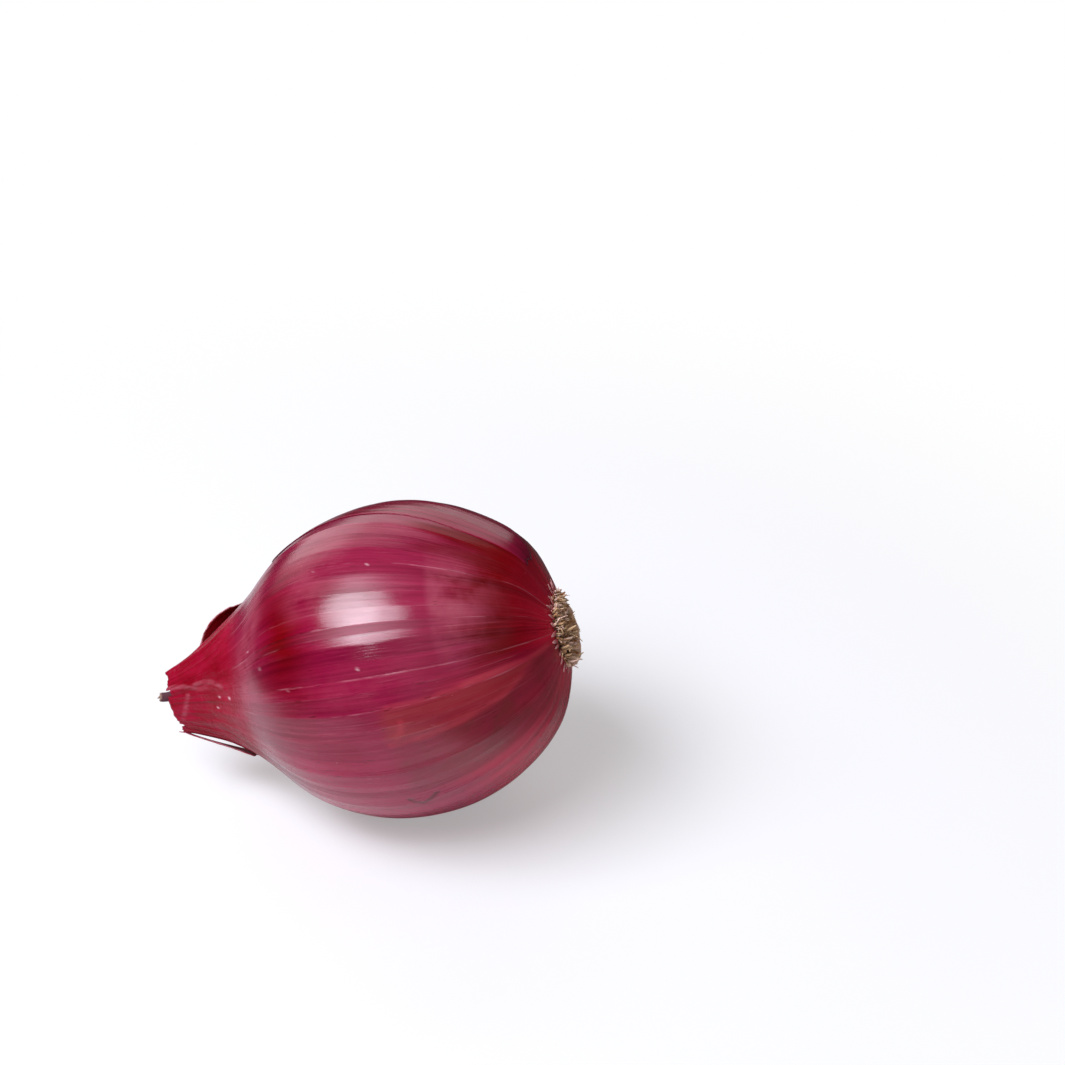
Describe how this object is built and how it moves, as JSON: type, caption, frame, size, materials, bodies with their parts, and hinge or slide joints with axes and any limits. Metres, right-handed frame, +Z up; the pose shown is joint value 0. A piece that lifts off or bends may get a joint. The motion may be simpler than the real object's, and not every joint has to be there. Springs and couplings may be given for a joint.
{
  "type": "red onion",
  "caption": "Small whole red onion lying on its side, with a torn papery neck at one end and a tuft of dry root stubs on its basal plate at the other.",
  "frame": {"origin": "middle of the small flat spot on the belly that the onion rests on", "axes": "+Z up, out of the floor; the onion's axis lies in the XZ plane, with the root end at +X and raised, and the neck at -X"},
  "size_m": [0.0862, 0.0636, 0.0633],
  "materials": {
    "bulb_skin": "semi-gloss dry outer skin, deep crimson with fine lengthwise ribs and pale streaks",
    "dry_skin": "satin papery skin, wrinkled, torn edges",
    "dry_leaf": "matt, shrivelled and dark",
    "basal_cork": "matt corky",
    "root_straw": "matt dry straw"
  },
  "bodies": {
    "root": {"bulb": "bulb_skin", "neck_skin_front": "dry_skin", "neck_skin_back": "dry_skin", "skin_flap_under": "dry_skin", "skin_flap_back": "dry_skin", "dry_leaf_tip": "dry_leaf", "basal_plate": "basal_cork", "root_01": "root_straw", "root_02": "root_straw", "root_03": "root_straw", "root_04": "root_straw", "root_05": "root_straw", "root_06": "root_straw", "root_07": "root_straw", "root_08": "root_straw", "root_09": "root_straw", "root_10": "root_straw", "root_11": "root_straw", "root_12": "root_straw", "root_13": "root_straw", "root_14": "root_straw", "root_15": "root_straw", "root_16": "root_straw", "root_17": "root_straw", "root_18": "root_straw", "root_19": "root_straw", "root_20": "root_straw", "root_21": "root_straw", "root_22": "root_straw", "root_23": "root_straw", "root_24": "root_straw", "root_25": "root_straw", "root_26": "root_straw", "root_27": "root_straw", "root_28": "root_straw", "root_29": "root_straw", "root_30": "root_straw", "root_31": "root_straw", "root_32": "root_straw", "root_33": "root_straw", "root_34": "root_straw"}
  },
  "joints": []
}
